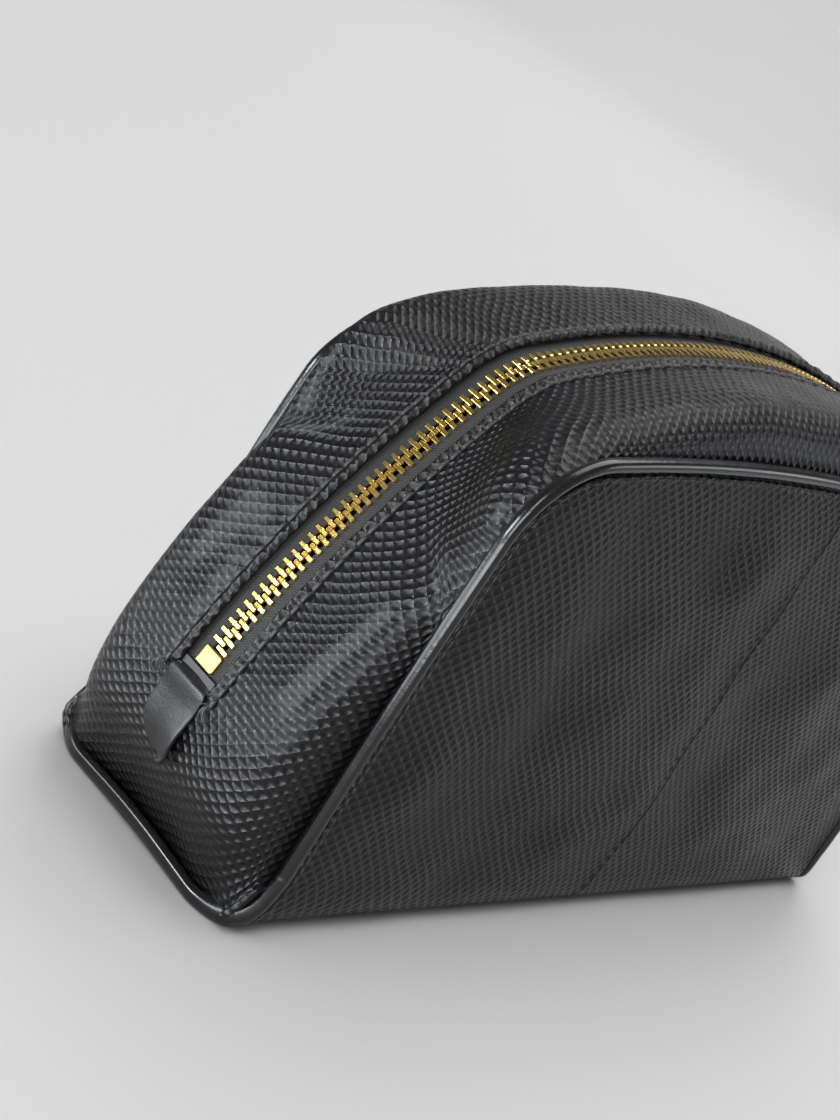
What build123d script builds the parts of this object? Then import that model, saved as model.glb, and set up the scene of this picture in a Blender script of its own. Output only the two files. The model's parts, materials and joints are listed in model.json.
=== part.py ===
"""Soft leather makeup bag with a curved zip-top gusset, piped seams and a brass zip.

Millimetres. Origin on the floor under the middle of the bag, +X along its length, -Y to
the front panel, +Z up. Two curves in upright planes along the bag shape it, each a row of
tangent arcs from the floor at -X, over the top, to the floor at +X. The crown is the middle
of the gusset, where the zip runs, and the seam is where the gusset meets the front or back
panel. A place on the crown is given by the distance run along it from the -X end.
"""
from build123d import *
import os
from math import acos, cos, degrees, pi, radians, sin

# ---- driving dimensions ----
crown_height = 149.0         # crown of the gusset above the floor
crown_radii = (258.0, 27.0, 237.0, 58.0)       # top, shoulder, end, and tuck above the floor
crown_headings = (20.0, 54.5, 75.0)            # degrees of slope where one arc meets the next
seam_height = 136.0          # middle of the piping above the floor
seam_radii = (620.0, 24.0, 1500.0, 1400.0)
seam_headings = (9.2, 86.0, 88.25)

half_width = 37.5            # outer face of the front or back panel from the middle
bottom_round = 16.0          # rounding between the front panel and the base

leather = 1.4                # outer leather
interlining = 0.8            # reinforcement bonded between leather and lining
lining = 0.4                 # woven lining
ply_gap = 0.1                # glue line between plies

piping_radius = 1.7          # outside of the piping
piping_wall = 0.65           # leather cover of the piping
piping_fit = 0.05            # play of the cord in its cover
piping_clear = 0.25          # room between the piping and the panels beside it

zip_end_run = 52.0           # run along the gusset from the floor to the zip's last tooth
slot_half = 5.8              # half the slot in the gusset that the zip fills
slot_overrun = 7.0           # the slot goes on this far past the last tooth
tooth_pitch = 2.5            # size 5 metal chain
tooth_width = 1.2            # of one tooth along the chain
tooth_height = 2.4
chain_half = 2.9             # half the width over the teeth
chain_gap_half = 0.45        # half the slit between the two rows, where the slider's neck runs
tape_inner = 1.7             # inner edge of each tape from the middle
tape_outer = 14.0            # outer edge of each tape, and of the gusset's level middle
tape_thickness = 0.6

slider_length = 12.0
slider_plate = 1.1
slider_clear = 0.35          # play between slider and teeth
slider_from_stop = 6.6       # slider's middle to the last tooth when the bag is shut
nose_half = 4.8              # half the slider's width where the teeth part
tail_half = 3.9              # and where they leave it meshed
nose_taper = 4.0             # length of the slider that narrows towards the nose
nose_corner = 1.0
slider_rim = 0.6
neck_length = 2.6            # wedge between the slider's plates
neck_width = 0.5
bridge_half_length = 3.6
bridge_thickness = 0.9
bridge_chamfer = 1.2
bridge_half_width = 1.1
bridge_play = 0.35           # room over the pivot bar under the bridge
pull_bar_radius = 0.7
pull_bar_height = 2.6        # pivot bar above the gusset's crown
link_length = 11.0
link_half = 4.4              # middle of the link's side bars from the middle
link_corner = 1.2
pull_tab_length = 34.0
pull_tab_width = 7.0
tab_ply = 1.0                # one layer of the folded pull tab
tab_neck = 6.0               # the fold closes up this far from the bar
fold_play = 0.35

stop_length = 4.6
stop_from_tooth = 0.2
end_tab_width = 11.5
end_tab_length = 17.0
end_tab_thickness = 1.1
near_tab_lift = 0.3          # air under the tongue that lifts
tab_from_slot = 0.4
filler_sink = 0.2            # filler ply below the crown
stitch_pitch = 3.4
stitch_length = 2.7
stitch_radius = 0.24
zip_stitch_line = 8.6        # zip stitching from the middle
edge_stitch_line = 1.3       # body stitching from the panel's edge
edge_thread_radius = 0.2


# ---- the two side curves: the gusset's crown, and the seam with the body ----
def outward(heading):
    """Unit vector out of the bag where a curve climbs at this heading in degrees."""
    return Vector(-sin(radians(heading)), 0, cos(radians(heading)))


def forward(heading):
    """Unit vector along a curve at this heading in degrees."""
    return Vector(cos(radians(heading)), 0, sin(radians(heading)))


def mirrored(point):
    return Vector(-point.X, 0, point.Z)


def make_arcs(apex, radii, headings):
    """Tangent arcs from the floor at -X, over the apex, to the floor at +X.

    Each arc is its centre, its radius, and the headings where it starts and ends.
    """
    centre = Vector(0, 0, apex - radii[0])
    rising = []
    upper = 0.0
    for place, radius in enumerate(radii):
        if place:
            centre = centre + outward(upper) * (radii[place - 1] - radius)
        last = place == len(radii) - 1
        lower = degrees(acos(-centre.Z / radius)) if last else headings[place]
        rising.insert(0, (centre, radius, lower, upper))
        upper = lower
    top_centre, top_radius, top_heading, _ = rising[-1]
    falling = [(mirrored(middle), radius, -end, -begin)
               for middle, radius, begin, end in reversed(rising[:-1])]
    return rising[:-1] + [(top_centre, top_radius, top_heading, -top_heading)] + falling


crown = make_arcs(crown_height, crown_radii, crown_headings)
seam = make_arcs(seam_height, seam_radii, seam_headings)
crown_runs = [radius * radians(begin - end) for _, radius, begin, end in crown]
total_run = sum(crown_runs)
zip_start = zip_end_run
zip_end = total_run - zip_end_run
far_end_centre = crown[-2][0]


def spans(run_from, run_to):
    """The arcs of a stretch of the crown, between two runs from the floor at -X."""
    found = []
    begin = 0.0
    for (centre, radius, start, _), length in zip(crown, crown_runs):
        low = max(run_from, begin)
        high = min(run_to, begin + length)
        if high - low > 1e-6:
            first = start - degrees((low - begin) / radius)
            last = start - degrees((high - begin) / radius)
            found.append((centre, radius, first, last))
        begin += length
    return found


def frame_at(run):
    """Plane on the crown at this run: x forward along the curve, y across, z outward."""
    centre, radius, _, heading = spans(0, run)[-1]
    origin = centre + outward(heading) * radius
    return Plane(origin=origin, x_dir=forward(heading), z_dir=outward(heading))


def trace(arcs, inset):
    """Draw arcs, moved into the bag by inset, in the open line, and return their ends."""
    ends = []
    for centre, radius, begin, end in arcs:
        points = [centre + outward(angle) * (radius - inset)
                  for angle in (begin, (begin + end) / 2, end)]
        flat = [(point.X, point.Z) for point in points]
        ThreePointArc(*flat)
        ends += [flat[0], flat[2]]
    return ends[0], ends[-1]


def level(across):
    """Upright plane along the bag at this Y."""
    return Plane.XZ.offset(-across)


def band(across, arcs, depth, thickness):
    """Face in the upright plane at this Y: a ply's cut edge, depth under the curve."""
    with BuildSketch(level(across)) as ply:
        with BuildLine():
            outer = trace(arcs, depth)
            inner = trace(arcs, depth + thickness)
            Line(outer[0], inner[0])
            Line(outer[1], inner[1])
        make_face()
    return ply.sketch


def add_middle(depth, thickness, across_from, across_to, run_from, run_to, mode=Mode.ADD):
    """Add a strip of the gusset's level middle to the open part."""
    ply = band(across_from, spans(run_from, run_to), depth, thickness)
    extrude(ply, amount=across_to - across_from, dir=(0, 1, 0), mode=mode)


def add_flank(depth, thickness, side):
    """Add the strip of the gusset that slopes from its level middle to the seam."""
    middle_ply = band(side * tape_outer, crown, depth, thickness)
    edge_ply = band(side * gusset_half, seam, depth - leather / 2, thickness)
    loft([middle_ply.faces()[0], edge_ply.faces()[0]], ruled=True)


def add_u_outline(half, floor, corner, mode=Mode.ADD):
    """Upright outline with rounded bottom corners, taken well over the top of the bag."""
    tall = crown_height + 20
    bend = corner * (1 - cos(pi / 4))
    with BuildLine() as outline:
        Line((-half, tall), (-half, floor + corner))
        ThreePointArc((-half, floor + corner), (-half + bend, floor + bend),
                      (-half + corner, floor))
        Line((-half + corner, floor), (half - corner, floor))
        ThreePointArc((half - corner, floor), (half - bend, floor + bend),
                      (half, floor + corner))
        Line((half, floor + corner), (half, tall))
        Line((half, tall), (-half, tall))
    make_face(outline.edges(), mode=mode)


def keep_inside_body(side_inset, floor_inset):
    """Trim the open part to the inside of the body panel's U section."""
    corner = bottom_round - side_inset
    with BuildSketch(Plane.YZ) as inside:
        add_u_outline(half_width - side_inset, floor_inset, corner)
    extrude(inside.sketch, amount=total_run / 2, both=True, mode=Mode.INTERSECT)


def add_wrap(depth, thickness, x_from, x_to, edge_inset):
    """Add a front-base-back wrap to the open part, cut to the bag's side outline."""
    with BuildSketch(Plane.YZ.offset(x_from)) as wrap:
        add_u_outline(half_width - depth, depth, bottom_round - depth)
        deep = depth + thickness
        add_u_outline(half_width - deep, deep, bottom_round - deep, mode=Mode.SUBTRACT)
    extrude(wrap.sketch, amount=x_to - x_from)
    with BuildSketch(Plane.XZ) as side:
        with BuildLine():
            first, last = trace(seam, edge_inset)
            Polyline(last, (last[0], -5), (first[0], -5), first)
        make_face()
    extrude(side.sketch, amount=half_width * 2, both=True, mode=Mode.INTERSECT)


finished = []


def keep(builder, name):
    """Label a finished piece and remember it for export."""
    builder.part.label = name
    finished.append((name, builder.part))


# ---- piping: one closed loop round the gusset, in the seam between it and the body ----
pipe_across = half_width - 0.3
gusset_half = pipe_across - piping_radius - piping_clear
knee_height = bottom_round + piping_radius
knee_heading = degrees(acos((knee_height - seam[0][0].Z) / seam[0][1]))


def trimmed_seam():
    """The seam's arcs, cut off where the piping turns under the end of the bag."""
    first_centre, first_radius, _, first_end = seam[0]
    last_centre, last_radius, last_begin, _ = seam[-1]
    return ([(first_centre, first_radius, knee_heading, first_end)] + seam[1:-1]
            + [(last_centre, last_radius, last_begin, -knee_heading)])


def seam_arcs(across, inset):
    """Draw the seam's arcs at this Y, moved into the bag by inset, in the open line."""
    for centre, radius, begin, end in trimmed_seam():
        points = [centre + Vector(0, across, 0) + outward(angle) * (radius - inset)
                  for angle in (begin, (begin + end) / 2, end)]
        ThreePointArc(*points)


with BuildLine() as piping_line:
    seam_arcs(-pipe_across, 0)
    seam_arcs(pipe_across, 0)
    for end_arc, heading, way in ((seam[0], knee_heading, -1), (seam[-1], -knee_heading, 1)):
        knee = end_arc[0] + outward(heading) * end_arc[1]
        fall = forward(heading) * way
        bend = bottom_round * (1 - cos(pi / 4))
        foot = knee + fall * bottom_round
        reach = pipe_across - bottom_round
        for side in (-1, 1):
            turn = knee + fall * (bottom_round - bend)
            ThreePointArc(knee + Vector(0, side * pipe_across, 0),
                          turn + Vector(0, side * (pipe_across - bend), 0),
                          foot + Vector(0, side * reach, 0))
        Line(foot + Vector(0, -reach, 0), foot + Vector(0, reach, 0))
piping_wire = Wire.combine(piping_line.edges())[0]
piping_section = Plane(
    origin=Vector(0, -pipe_across, seam_height), x_dir=(0, 1, 0), z_dir=(1, 0, 0))
bore_radius = piping_radius - piping_wall

with BuildPart() as piping_cover:
    with BuildSketch(piping_section):
        Circle(piping_radius)
        Circle(bore_radius, mode=Mode.SUBTRACT)
    sweep(path=piping_wire)
keep(piping_cover, "piping_cover")

with BuildPart() as piping_cord:
    with BuildSketch(piping_section):
        Circle(bore_radius - piping_fit)
    sweep(path=piping_wire)
keep(piping_cord, "piping_cord")


# ---- body: front, base and back in one wrap, joined edge to edge at mid length ----
panel_inset = piping_radius + piping_clear
interlining_depth = leather + ply_gap
lining_depth = interlining_depth + interlining + ply_gap
seam_tape_half = 6.0
reach_x = 150.0

with BuildPart() as body_panel_near:
    add_wrap(0, leather, -reach_x, 0, panel_inset)
keep(body_panel_near, "body_panel_near")

with BuildPart() as body_panel_far:
    add_wrap(0, leather, 0, reach_x, panel_inset)
keep(body_panel_far, "body_panel_far")

with BuildPart() as centre_seam_tape:
    add_wrap(leather, interlining, -seam_tape_half, seam_tape_half, panel_inset + 4)
keep(centre_seam_tape, "centre_seam_tape")

for label, x_from, x_to in (("body_interlining_near", -reach_x, -seam_tape_half - 0.5),
                            ("body_interlining_far", seam_tape_half + 0.5, reach_x)):
    with BuildPart() as body_interlining:
        add_wrap(interlining_depth, interlining, x_from, x_to, panel_inset + 3)
    keep(body_interlining, label)

with BuildPart() as body_lining:
    add_wrap(lining_depth, lining, -reach_x, reach_x, panel_inset + 1)
keep(body_lining, "body_lining")


# ---- gusset: one strip up the end, over the top and down, slotted for the zip ----
gusset_floor = 2 * piping_radius + 0.6
slot_start = zip_start - slot_overrun
slot_end = zip_end + slot_overrun


def add_slotted(depth, thickness, slot_side):
    """Add one ply of the gusset, open over the zip's run."""
    add_middle(depth, thickness, -tape_outer, tape_outer, 0, total_run)
    add_flank(depth, thickness, -1)
    add_flank(depth, thickness, 1)
    add_middle(depth - 1, thickness + 2, -slot_side, slot_side, slot_start, slot_end,
               mode=Mode.SUBTRACT)


with BuildPart() as gusset_panel:
    add_slotted(0, leather, slot_half)
    keep_inside_body(half_width - gusset_half, gusset_floor)
keep(gusset_panel, "gusset_panel")

with BuildPart() as gusset_interlining:
    add_slotted(interlining_depth, interlining, tape_outer - 0.5)
    keep_inside_body(half_width - gusset_half + 2, gusset_floor + 2)
keep(gusset_interlining, "gusset_interlining")

with BuildPart() as gusset_lining:
    add_slotted(lining_depth, lining, slot_half + 2.5)
    keep_inside_body(half_width - gusset_half + 0.5, gusset_floor + 0.5)
keep(gusset_lining, "gusset_lining")


# ---- zip ----
tape_depth = leather
tape_middle = tape_depth + tape_thickness / 2
for label, side in (("zip_tape_front", -1), ("zip_tape_back", 1)):
    edges = sorted((side * tape_inner, side * (tape_outer - 0.6)))
    with BuildPart() as zip_tape:
        add_middle(tape_depth, tape_thickness, *edges, slot_start, slot_end)
    keep(zip_tape, label)

tooth_count = int((zip_end - zip_start) / tooth_pitch)
clamp_slot = tape_thickness + 0.1


def add_tooth(plane, side):
    """Add one tooth: two legs that clamp the tape's edge, and a narrower head."""
    leg_from = tape_inner - 0.1
    with BuildSketch(plane) as blank:
        with Locations((0, side * (leg_from + chain_half) / 2)):
            Rectangle(tooth_width, chain_half - leg_from)
        with Locations((0, side * (leg_from + chain_gap_half) / 2)):
            Rectangle(tooth_width * 0.75, leg_from - chain_gap_half)
    extrude(blank.sketch, amount=tooth_height / 2, both=True)
    with BuildSketch(plane) as clamp:
        with Locations((0, side * (leg_from + 0.1 + chain_half) / 2)):
            Rectangle(tooth_width * 2, chain_half - leg_from + 0.1)
    extrude(clamp.sketch, amount=clamp_slot / 2, both=True, mode=Mode.SUBTRACT)


for label, side, lag in (("teeth_front", -1, 0.0), ("teeth_back", 1, 0.5)):
    with BuildPart(mode=Mode.PRIVATE) as tooth:
        add_tooth(Plane.XY, side)
    places = [frame_at(zip_start + (index + 0.3 + lag) * tooth_pitch).offset(-tape_middle)
              for index in range(tooth_count)]
    with BuildPart() as teeth:
        with Locations(*places):
            add(tooth.part)
    keep(teeth, label)

bottom_stop_plane = frame_at(zip_start - stop_length / 2 - stop_from_tooth).offset(-tape_middle)
with BuildPart() as bottom_stop:
    with BuildSketch(bottom_stop_plane):
        RectangleRounded(stop_length, 2 * chain_half, 0.3)
    extrude(amount=tooth_height / 2 + 0.2, both=True)
    with BuildSketch(bottom_stop_plane):
        Rectangle(stop_length * 2, 2 * chain_half + 1)
        Rectangle(stop_length * 2, 2 * (tape_inner - 0.1), mode=Mode.SUBTRACT)
    extrude(amount=clamp_slot / 2, both=True, mode=Mode.SUBTRACT)
keep(bottom_stop, "bottom_stop")

with BuildPart() as top_stops:
    stop_plane = frame_at(zip_end + 1.2).offset(-tape_middle)
    clamp_middle = (tape_inner - 0.1 + chain_half) / 2
    for side in (-1, 1):
        with BuildSketch(stop_plane):
            with Locations((0, side * (chain_gap_half + 0.5 + chain_half) / 2)):
                Rectangle(2.0, chain_half - chain_gap_half - 0.5)
        extrude(amount=tooth_height / 2, both=True)
        with BuildSketch(stop_plane):
            with Locations((0, side * (clamp_middle + 0.05))):
                Rectangle(4.0, chain_half - tape_inner + 0.2)
        extrude(amount=clamp_slot / 2, both=True, mode=Mode.SUBTRACT)
keep(top_stops, "top_stops")


# ---- slider and puller, parked at the far end where the bag is shut ----
slider_run = zip_end - slider_from_stop
slider_frame = frame_at(slider_run)
upper_face = -tape_middle + tooth_height / 2 + slider_clear
lower_face = -tape_middle - tooth_height / 2 - slider_clear
rim_reach = tooth_height / 2 + slider_clear - tape_thickness / 2 - 0.3


def slider_outline():
    """Slider plate seen from outside, wide at the nose that leads when closing."""
    with BuildLine() as plate:
        half = slider_length / 2
        Polyline((-half, -tail_half), (half - nose_taper, -nose_half),
                 (half, -nose_half + nose_corner), (half, nose_half - nose_corner),
                 (half - nose_taper, nose_half), (-half, tail_half), (-half, -tail_half))
    make_face(plate.edges())


with BuildPart() as slider_body:
    with BuildSketch(slider_frame.offset(upper_face)):
        slider_outline()
    extrude(amount=slider_plate)
    with BuildSketch(slider_frame.offset(lower_face)):
        slider_outline()
    extrude(amount=-slider_plate)
    for face_height, way in ((upper_face, -1), (lower_face, 1)):
        with BuildSketch(slider_frame.offset(face_height)):
            slider_outline()
            offset(amount=-slider_rim, mode=Mode.SUBTRACT)
            with Locations((slider_length / 2, 0), (-slider_length / 2, 0)):
                Rectangle(4.5, 2 * (tail_half - slider_rim) + 0.4, mode=Mode.SUBTRACT)
        extrude(amount=way * rim_reach)
    with BuildSketch(slider_frame.offset(lower_face)):
        with Locations((slider_length / 2 - 1.6, 0)):
            Rectangle(neck_length, neck_width)
    extrude(amount=upper_face - lower_face)
keep(slider_body, "slider_body")

plate_top = upper_face + slider_plate
bridge_inner_top = pull_bar_height + pull_bar_radius + bridge_play
bridge_side = Plane(origin=slider_frame.origin, x_dir=slider_frame.x_dir,
                    z_dir=-slider_frame.y_dir)
with BuildPart() as slider_bridge:
    with BuildSketch(bridge_side):
        with BuildLine():
            outer_top = bridge_inner_top + bridge_thickness
            outer_half = bridge_half_length
            inner_half = bridge_half_length - bridge_thickness
            flat_half = outer_half - bridge_chamfer
            Polyline((-outer_half, plate_top), (-outer_half, outer_top - bridge_chamfer),
                     (-flat_half, outer_top), (flat_half, outer_top),
                     (outer_half, outer_top - bridge_chamfer), (outer_half, plate_top),
                     (inner_half, plate_top), (inner_half, bridge_inner_top),
                     (-inner_half, bridge_inner_top), (-inner_half, plate_top),
                     (-outer_half, plate_top))
        make_face()
    extrude(amount=bridge_half_width, both=True)
keep(slider_bridge, "slider_bridge")

# the link is a flat frame, open towards the slider, where a round bar closes it
link_plane = slider_frame.offset(pull_bar_height)
with BuildPart() as pull_link:
    with BuildSketch(link_plane):
        with Locations((link_length / 2, 0)):
            RectangleRounded(link_length + 2 * pull_bar_radius,
                             2 * link_half + 2 * pull_bar_radius, link_corner)
        with Locations(((link_length - 4 * pull_bar_radius) / 2, 0)):
            Rectangle(link_length + 2 * pull_bar_radius, 2 * link_half - 2 * pull_bar_radius,
                      mode=Mode.SUBTRACT)
    extrude(amount=pull_bar_radius, both=True)
    with BuildSketch(Plane(origin=link_plane.origin, z_dir=link_plane.y_dir)):
        Circle(pull_bar_radius)
    extrude(amount=link_half, both=True)
keep(pull_link, "pull_link")

# the leather tab is folded through the link and stitched to itself
fold_inner = pull_bar_radius * 1.42 + fold_play
fold_side = Plane(origin=link_plane.origin + link_plane.x_dir * link_length,
                  x_dir=link_plane.x_dir, z_dir=-link_plane.y_dir)
with BuildPart() as pull_tab:
    with BuildSketch(fold_side):
        with BuildLine():
            fold_outer = fold_inner + tab_ply
            ThreePointArc((0, fold_outer), (-fold_outer, 0), (0, -fold_outer))
            Polyline((0, -fold_outer), (tab_neck, -tab_ply), (pull_tab_length, -tab_ply),
                     (pull_tab_length, tab_ply), (tab_neck, tab_ply), (0, fold_outer))
        make_face()
        Circle(fold_inner, mode=Mode.SUBTRACT)
    extrude(amount=pull_tab_width / 2, both=True)
keep(pull_tab, "pull_tab")


# ---- leather tongues sewn over the two ends of the slot ----
tab_half = end_tab_width / 2
with BuildPart() as end_tab_near:
    add_middle(-near_tab_lift - end_tab_thickness, end_tab_thickness, -tab_half, tab_half,
               slot_start - end_tab_length, slot_start - tab_from_slot)
keep(end_tab_near, "end_tab_near")

with BuildPart() as end_tab_far:
    add_middle(-end_tab_thickness, end_tab_thickness, -tab_half, tab_half,
               slot_end + tab_from_slot, slot_end + end_tab_length)
keep(end_tab_far, "end_tab_far")

# filler ply under each tongue, which closes the slot between the folded edges
for label, run_from, run_to in (("slot_filler_near", slot_start, zip_start - stop_length - 0.6),
                                ("slot_filler_far", zip_end + 2.8, slot_end)):
    with BuildPart() as slot_filler:
        add_middle(filler_sink, leather - filler_sink, -slot_half, slot_half, run_from, run_to)
    keep(slot_filler, label)


# ---- stitching ----
stitch_count = int((slot_end - slot_start) / stitch_pitch)
for label, across in (("zip_stitching_front", -zip_stitch_line),
                      ("zip_stitching_back", zip_stitch_line)):
    with BuildPart(mode=Mode.PRIVATE) as stitch:
        with BuildSketch(Plane.YZ):
            Circle(stitch_radius)
        extrude(amount=stitch_length / 2, both=True)
    places = []
    for index in range(stitch_count):
        seat = frame_at(slot_start + (index + 0.5) * stitch_pitch)
        places.append(Plane(origin=seat.origin + Vector(0, across, 0)
                            + seat.z_dir * (stitch_radius + 0.03),
                            x_dir=seat.x_dir, z_dir=seat.z_dir))
    with BuildPart() as zip_stitching:
        with Locations(*places):
            add(stitch.part)
    keep(zip_stitching, label)

for label, side in (("edge_stitching_front", -1), ("edge_stitching_back", 1)):
    with BuildPart() as edge_stitching:
        with BuildLine() as thread:
            seam_arcs(side * (half_width + edge_thread_radius), panel_inset + edge_stitch_line)
        with BuildSketch(Plane(origin=thread.line @ 0, z_dir=thread.line % 0)):
            Circle(edge_thread_radius)
        sweep(path=thread.line)
    keep(edge_stitching, label)

os.makedirs("parts", exist_ok=True)
for label, solid in finished:
    export_step(solid, f"parts/{label}.step")
print("zip", round(zip_start, 2), round(zip_end, 2), "teeth per side", tooth_count)
print("slider pivot", far_end_centre, "link pivot", link_plane.origin,
      "strap pivot", fold_side.origin, "tongue pivot", frame_at(slot_start - tab_from_slot).origin)
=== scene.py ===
"""Looks for the soft leather makeup bag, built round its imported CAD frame. Metres.

+X runs along the bag, -Y is the front panel, +Z is up and the floor is Z = 0. Two curves
in upright planes shape the bag, as in the CAD model: the crown, which is the middle of the
gusset where the zip runs, and the seam, where the piping joins the gusset to the body.
"""
import json
from math import acos, cos, pi, radians, sin

import bpy
import numpy as np
from mathutils import Matrix, Vector


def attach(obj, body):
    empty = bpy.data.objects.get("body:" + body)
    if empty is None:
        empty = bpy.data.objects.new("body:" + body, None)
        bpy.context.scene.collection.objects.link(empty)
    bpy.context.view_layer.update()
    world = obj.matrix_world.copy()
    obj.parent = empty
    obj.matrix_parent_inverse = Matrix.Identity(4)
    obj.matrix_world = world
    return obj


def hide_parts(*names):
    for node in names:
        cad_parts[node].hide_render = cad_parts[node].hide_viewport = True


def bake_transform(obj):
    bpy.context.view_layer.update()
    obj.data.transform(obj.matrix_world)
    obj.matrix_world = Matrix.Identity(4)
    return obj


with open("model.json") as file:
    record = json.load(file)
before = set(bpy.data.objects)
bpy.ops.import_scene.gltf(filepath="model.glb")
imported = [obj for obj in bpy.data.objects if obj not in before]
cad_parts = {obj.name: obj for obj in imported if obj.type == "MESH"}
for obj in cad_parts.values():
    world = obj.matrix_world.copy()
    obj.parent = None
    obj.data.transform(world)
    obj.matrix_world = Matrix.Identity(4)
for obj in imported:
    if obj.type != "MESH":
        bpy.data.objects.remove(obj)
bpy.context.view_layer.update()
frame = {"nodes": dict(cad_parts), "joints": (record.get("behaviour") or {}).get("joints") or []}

MM = 0.001

# ---- sizes shared with the CAD model ----
crown_height = 149 * MM
crown_radii = (258 * MM, 27 * MM, 237 * MM, 58 * MM)
crown_headings = (20.0, 54.5, 75.0)
seam_height = 136 * MM
seam_radii = (620 * MM, 24 * MM, 1500 * MM, 1400 * MM)
seam_headings = (9.2, 86.0, 88.25)
half_width = 37.5 * MM
bottom_round = 16 * MM
leather = 1.4 * MM
piping_radius = 1.7 * MM
piping_across = 37.2 * MM
slot_half = 5.8 * MM
slot_start = 45 * MM
slot_end = 436.5 * MM
zip_start = 52 * MM
tooth_pitch = 2.5 * MM
tooth_count = 150
tape_middle_depth = 1.7 * MM
zip_stitch_line = 8.6 * MM
stitch_pitch = 3.4 * MM
tongue_length = 17 * MM

# ---- sizes of the soft shapes ----
gusset_edge = 34.9 * MM          # from the middle to where the gusset drops into the seam
level_half = 9 * MM              # half the gusset's level middle
fold_reach = 1.9 * MM            # width of a turned edge
panel_gap = 2.35 * MM            # piping's middle to the panel's turned edge
seam_gap_half = 0.12 * MM        # half the slit of the centre seam
cap_height = 98 * MM             # where the panel's rows start to follow the top of the seam
gusset_floor = 2.4 * MM          # lower edge of the gusset above the floor
end_arch = 1.4 * MM              # the base lifts this much in the middle of each end
base_flare = 8.2 * MM            # the end seams spread this much where they meet the floor
base_tuck = 2.2 * MM             # and the gusset above them turns in this much
flare_at_corners = 0.20          # share of that spread left at the corners of the base
corner_fill = 2.2 * MM           # the stuffed bottom edges are squarer than their pattern by this
panel_swell = 1.9 * MM           # the panels stand this proud, give or take their hills
panel_rise = 9 * MM              # distance from the piping over which they swell
broad_hills, small_hills = 1.2 * MM, 0.7 * MM
back_lean = 4.5 * MM             # the back's near shoulder leans in along the bag,
back_fall = 4.5 * MM             # sinks at its corner
back_pinch = 3.0 * MM            # and draws in towards the middle of the near half
slump_corner = (-110 * MM, 122 * MM)
slump_reach = 26 * MM
pinch_centre = (-30 * MM, 50 * MM)
seam_sink = 0.3 * MM             # the gusset's edge lies this far below the seam
gusset_puff = 2.3 * MM           # the gusset stands this proud between zip and piping
gusset_hills, gusset_creases = 1.0 * MM, 0.35 * MM
welt_line = 7.2 * MM             # ridge beside the slot, raised behind it and sunk in front
back_welt, front_welt = 0.55 * MM, -0.35 * MM
stitch_dent = 0.42 * MM          # the zip's stitches pull the leather down this far
pull_dent, pull_pitch = 0.16 * MM, 7.3 * MM
lining_ply, stiffener_ply = 0.4 * MM, 0.8 * MM
lining_depth, stiffener_depth = 2.4 * MM, 1.5 * MM


# ---- curves ----
def outward(heading):
    """Unit vector (x, z) out of the bag where a curve climbs at this heading."""
    return np.stack([-np.sin(heading), np.cos(heading)], axis=-1)


class SideCurve:
    """Tangent arcs in an upright plane, from the floor at -X over the top to +X.

    A place on it counts arcs: place 2.5 is half way along the third arc.
    """

    def __init__(self, apex, radii, headings):
        centre = np.array([0.0, apex - radii[0]])
        rising = []
        upper = 0.0
        for index, radius in enumerate(radii):
            if index:
                centre = centre + outward(upper) * (radii[index - 1] - radius)
            last = index == len(radii) - 1
            lower = acos(-centre[1] / radius) if last else radians(headings[index])
            rising.insert(0, (centre, radius, lower, upper))
            upper = lower
        top_centre, top_radius, top_heading, _ = rising.pop()
        falling = [(middle * (-1, 1), radius, -end, -begin)
                   for middle, radius, begin, end in reversed(rising)]
        arcs = rising + [(top_centre, top_radius, top_heading, -top_heading)] + falling
        self.centres = np.array([arc[0] for arc in arcs])
        self.radii = np.array([arc[1] for arc in arcs])
        self.begins = np.array([arc[2] for arc in arcs])
        self.ends = np.array([arc[3] for arc in arcs])
        lengths = self.radii * (self.begins - self.ends)
        self.runs = np.concatenate([[0], np.cumsum(lengths)])

    def place(self, run):
        return np.interp(run, self.runs, np.arange(len(self.runs)))

    def run(self, place):
        return np.interp(place, np.arange(len(self.runs)), self.runs)

    def arc_of(self, place):
        return np.clip(np.floor(place).astype(int), 0, len(self.radii) - 1)

    def heading(self, place):
        arc = self.arc_of(place)
        return self.begins[arc] + (self.ends - self.begins)[arc] * (place - arc)

    def point(self, place, lift=0.0):
        """Point (x, z) lifted out of the bag from the curve."""
        arc = self.arc_of(place)
        reach = np.asarray(self.radii[arc] + lift)[..., None]
        return self.centres[arc] + outward(self.heading(place)) * reach


crown = SideCurve(crown_height, crown_radii, crown_headings)
seam = SideCurve(seam_height, seam_radii, seam_headings)
arc_count = len(crown.radii)


def rising_side(curve):
    """Heights, and half the bag's length at each, up the side of a curve."""
    line = curve.point(np.linspace(0, arc_count / 2, 700))
    order = np.argsort(line[:, 1])
    return line[order, 1], -line[order, 0]


seam_side = rising_side(seam)
crown_side = rising_side(crown)
wrap_corner = pi / 2 * bottom_round
wrap_base_half = half_width - bottom_round


def smooth(low, high, value):
    """0 below low, 1 above high, with a soft change between."""
    t = np.clip((value - low) / (high - low), 0, 1)
    return t * t * (3 - 2 * t)


def unit(vectors):
    return vectors / np.maximum(np.linalg.norm(vectors, axis=-1, keepdims=True), 1e-12)


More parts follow.
